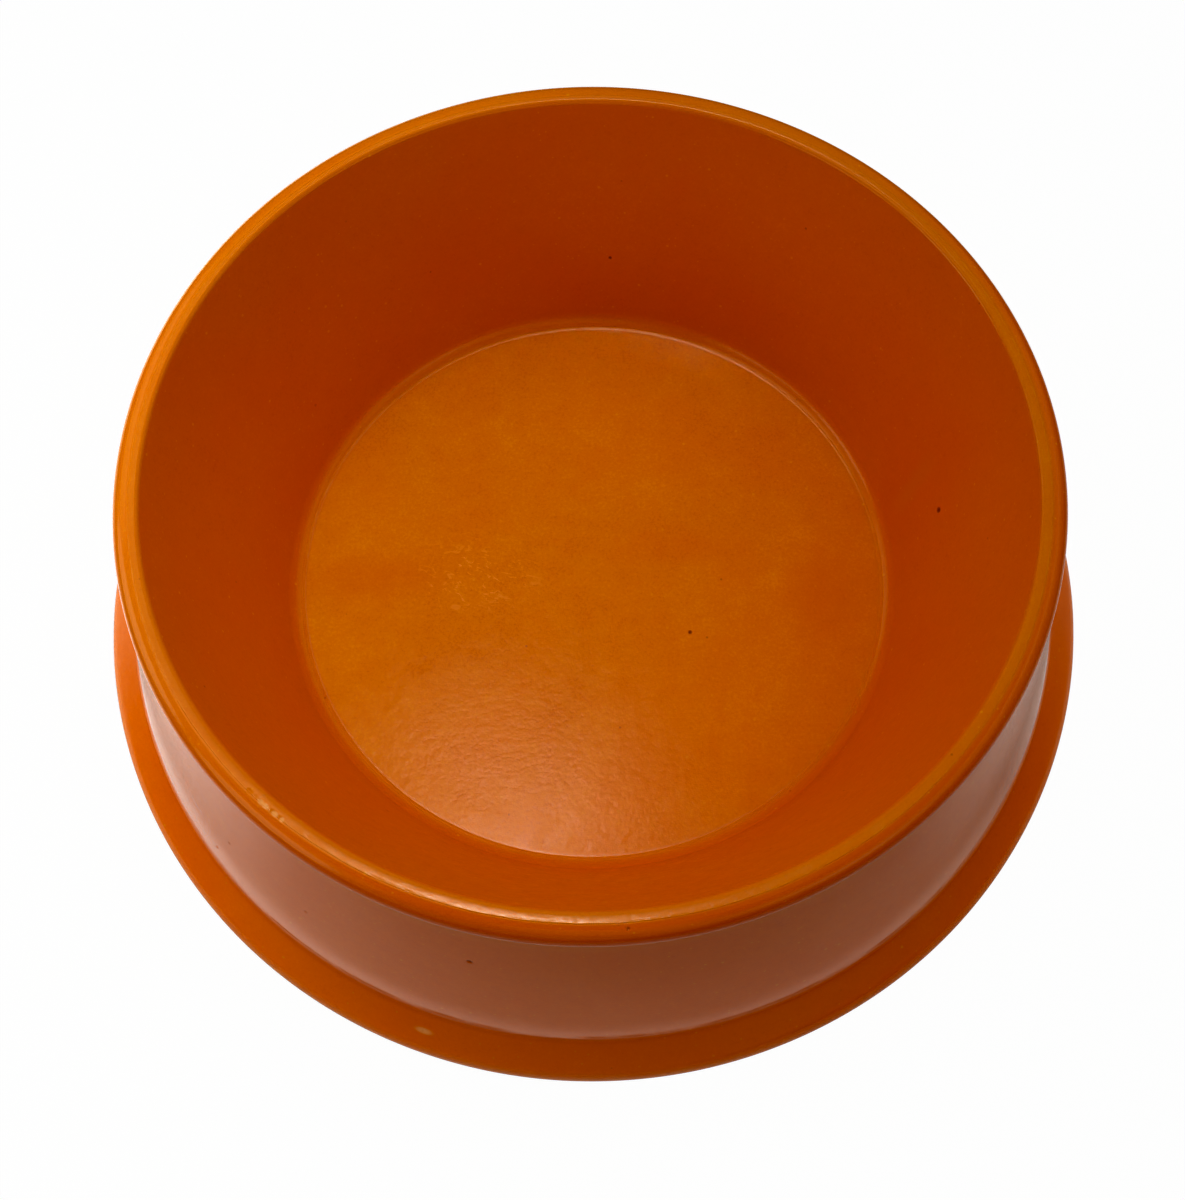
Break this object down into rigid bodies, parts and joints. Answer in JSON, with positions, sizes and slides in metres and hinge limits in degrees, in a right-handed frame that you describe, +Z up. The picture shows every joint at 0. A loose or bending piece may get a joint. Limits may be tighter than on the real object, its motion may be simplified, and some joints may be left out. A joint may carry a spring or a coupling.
{
  "type": "pet food bowl",
  "caption": "Round moulded pet bowl with a flat floor, rolled rim, flared hollow skirt and wide rounded foot, standing on a soft non-slip ring.",
  "frame": {"origin": "on the ground plane, on the bowl's axis, under the centre of the foot", "axes": "+Z up along the bowl's axis; the bowl is the same all round, so +X and +Y are free"},
  "size_m": [0.21, 0.21, 0.0628],
  "materials": {
    "body_moulding": "satin-gloss pressed fibre plastic",
    "ring_rubber": "matt"
  },
  "bodies": {
    "root": {"bowl_body": "body_moulding", "non_slip_ring": "ring_rubber"}
  },
  "joints": []
}
